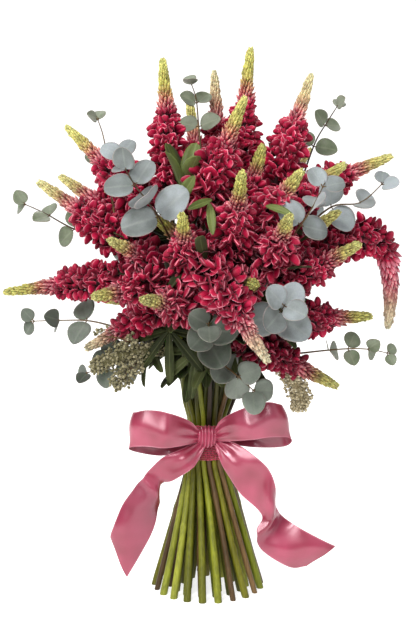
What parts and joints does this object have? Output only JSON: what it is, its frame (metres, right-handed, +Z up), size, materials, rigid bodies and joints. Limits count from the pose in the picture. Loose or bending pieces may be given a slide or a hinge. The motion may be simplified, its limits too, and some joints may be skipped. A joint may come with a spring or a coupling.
{
  "type": "hand-tied lupin bouquet",
  "caption": "Hand-tied bouquet of crimson lupin spikes and round-leaved eucalyptus, bound with cord and a satin bow, standing on its cut stems.",
  "frame": {"origin": "on the surface that the cut stems stand on, under the middle of the bouquet's whole outline", "axes": "+Z up along the stems, -Y towards the side with the bow, +X to the right seen from that side"},
  "size_m": [0.4316, 0.3804, 0.598],
  "materials": {
    "floret": "soft matt petals, crimson at the foot of a spike, yellow-green at its tip",
    "stem": "smooth green stems and leaves with a slight sheen",
    "silver_leaf": "matt blue-grey leaves with a waxy bloom",
    "olive_leaf": "matt grey-olive leaves on thin reddish twigs",
    "olive_seed": "matt olive buds and fine leaves",
    "cream_seed": "matt cream and grey-green buds",
    "cord": "twisted crimson cord",
    "ribbon": "dusty-pink satin with a soft gloss"
  },
  "bodies": {
    "root": {"lupin_01": "floret", "lupin_02": "floret", "lupin_03": "floret", "lupin_04": "floret", "lupin_05": "floret", "lupin_06": "floret", "lupin_07": "floret", "lupin_08": "floret", "lupin_09": "floret", "lupin_10": "floret", "lupin_11": "floret", "lupin_12": "floret", "lupin_13": "floret", "lupin_14": "floret", "lupin_15": "floret", "lupin_16": "floret", "lupin_17": "floret", "lupin_18": "floret", "lupin_19": "floret", "lupin_20": "floret", "lupin_22": "floret", "lupin_23": "floret", "lupin_24": "floret", "lupin_25": "floret", "lupin_26": "floret", "lupin_27": "floret", "lupin_28": "floret", "lupin_29": "floret", "lupin_31": "floret", "lupin_32": "floret", "lupin_33": "floret", "lupin_34": "floret", "lupin_35": "floret", "lupin_36": "floret", "lupin_37": "floret", "lupin_stems_1": "stem", "lupin_stems_2": "stem", "lupin_stems_3": "stem", "eucalyptus_01": "silver_leaf", "eucalyptus_05": "silver_leaf", "eucalyptus_06": "silver_leaf", "eucalyptus_07": "silver_leaf", "eucalyptus_08": "silver_leaf", "eucalyptus_09": "silver_leaf", "eucalyptus_11": "silver_leaf", "eucalyptus_12": "silver_leaf", "eucalyptus_02": "olive_leaf", "eucalyptus_03": "olive_leaf", "eucalyptus_04": "olive_leaf", "eucalyptus_10": "olive_leaf", "seed_head_left": "olive_seed", "seed_head_right": "cream_seed", "wound_cord": "cord", "bow_knot": "ribbon", "bow_loop_left": "ribbon", "bow_loop_right": "ribbon", "bow_tail_left": "ribbon", "bow_tail_right": "ribbon"}
  },
  "joints": []
}
